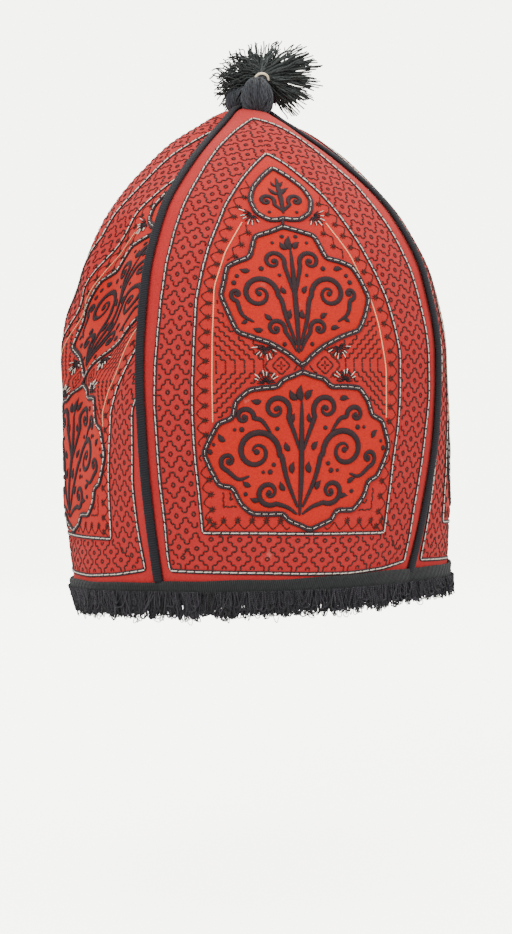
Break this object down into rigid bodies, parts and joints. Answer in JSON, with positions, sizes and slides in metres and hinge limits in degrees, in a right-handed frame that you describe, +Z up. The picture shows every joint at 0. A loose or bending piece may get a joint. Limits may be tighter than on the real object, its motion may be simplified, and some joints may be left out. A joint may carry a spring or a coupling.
{
  "type": "embroidered conical hat",
  "caption": "Tall pointed wool cap of embroidered gores joined by black seam braids, with a looped black fringe round the hem and a black tassel at the tip.",
  "frame": {"origin": "the middle of the head opening, in the plane of the cloth's lower edge", "axes": "+Z up along the crown's axis to the tip; -Y out of the middle of the front gore; +X to the wearer's left, out of the middle of the right-hand gore as the front is seen"},
  "size_m": [0.1918, 0.1918, 0.2769],
  "materials": {
    "red_wool": "fulled red wool broadcloth, matt, with a short nap",
    "black_braid": "flat black wool braid, matt",
    "black_thread": "black twisted thread, soft sheen",
    "cream_thread": "cream twisted thread, soft sheen"
  },
  "bodies": {
    "root": {"gore_front": "red_wool", "gore_right": "red_wool", "gore_back": "red_wool", "gore_left": "red_wool", "seam_braid_front_right": "black_braid", "seam_braid_back_right": "black_braid", "seam_braid_back_left": "black_braid", "seam_braid_front_left": "black_braid", "hem_fringe": "black_thread", "tassel": "black_thread", "tassel_tie": "cream_thread"}
  },
  "joints": []
}
